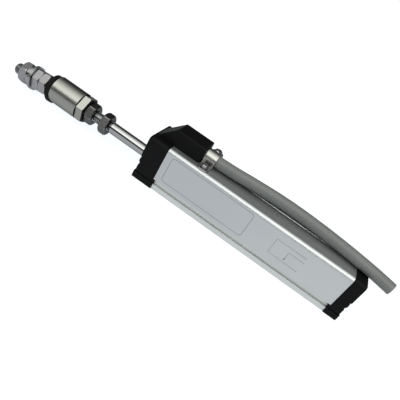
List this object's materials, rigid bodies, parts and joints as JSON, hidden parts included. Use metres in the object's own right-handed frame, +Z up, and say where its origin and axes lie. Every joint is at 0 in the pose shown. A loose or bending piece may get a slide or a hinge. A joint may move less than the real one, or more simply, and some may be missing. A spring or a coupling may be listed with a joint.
{
  "type": "linear displacement transducer",
  "caption": "Pull-rod linear displacement transducer: extruded housing with black end caps, a sliding rod with lock nuts and a ball coupling, and a cable strapped on top.",
  "frame": {"origin": "centre of the profile's underside, on the surface that the sensor stands on", "axes": "+X from the rod end towards the rear cap, along the rod; +Z up from the underside to the cable; the marked side of the housing faces -Y"},
  "size_m": [0.2099, 0.022, 0.0315],
  "materials": {
    "anodised_aluminium": "satin anodised",
    "black_plastic": "fine moulded grain",
    "black_rubber": "matt",
    "grey_jacket": "smooth flexible jacket",
    "polished_steel": "ground and polished",
    "coupling_steel": "turned, nickel plated",
    "plated_steel": "bright zinc plated",
    "dark_steel": "plain dark finish",
    "black_steel": "blackened",
    "spring_steel": "plain rolled",
    "bearing_bronze": "bored",
    "seat_plastic": "smooth",
    "carriage_plastic": "moulded",
    "board_laminate": "glass laminate",
    "conductive_track": "screen printed, polished",
    "terminal_brass": "tinned",
    "wire_insulation": "smooth"
  },
  "bodies": {
    "housing": {"housing_profile": "anodised_aluminium", "front_cap": "black_plastic", "rear_cap": "black_plastic", "front_gasket": "black_rubber", "rear_gasket": "black_rubber", "front_cap_screws": "black_steel", "rear_cap_screws": "black_steel", "rod_bush": "bearing_bronze", "rod_scraper": "black_rubber", "front_bumper": "black_rubber", "rear_bumper": "black_rubber", "track_board": "board_laminate", "resistance_tracks": "conductive_track", "solder_terminals": "terminal_brass", "lead_wires": "wire_insulation", "cable_strap": "plated_steel", "strap_screws": "plated_steel", "cable_seal": "black_rubber", "cable": "grey_jacket"},
    "carriage": {"carriage": "carriage_plastic", "rod_clip": "spring_steel", "wiper_contacts": "spring_steel"},
    "rod": {"pull_rod": "polished_steel", "rod_lock_nut": "dark_steel", "coupling_lock_nut": "dark_steel", "coupling_hex_end": "coupling_steel", "coupling_sleeve": "coupling_steel", "disc_springs": "spring_steel"},
    "ball_seats": {"front_ball_seat": "seat_plastic", "rear_ball_seat": "seat_plastic"},
    "ball_stud": {"ball_stud": "plated_steel", "dust_boot": "black_rubber", "stud_inner_nut": "plated_steel", "stud_washer": "plated_steel", "stud_spring_washer": "plated_steel", "stud_outer_nut": "plated_steel"}
  },
  "joints": [
    {"name": "rod_slide", "type": "slide", "parent": "housing", "child": "carriage", "axis": [-1, 0, 0], "range_m": [-0.002, 0.054]},
    {"name": "rod_spin", "type": "hinge", "parent": "carriage", "child": "rod", "pos_m": [0, 0, 0.0091], "axis": [1, 0, 0], "continuous": true},
    {"name": "ball_swivel", "type": "hinge", "parent": "rod", "child": "ball_seats", "pos_m": [-0.1122, 0, 0.0091], "axis": [1, 0, 0], "continuous": true},
    {"name": "ball_tilt", "type": "hinge", "parent": "ball_seats", "child": "ball_stud", "pos_m": [-0.1122, 0, 0.0091], "axis": [0, 1, 0], "range_deg": [-6.5, 18.5]}
  ]
}
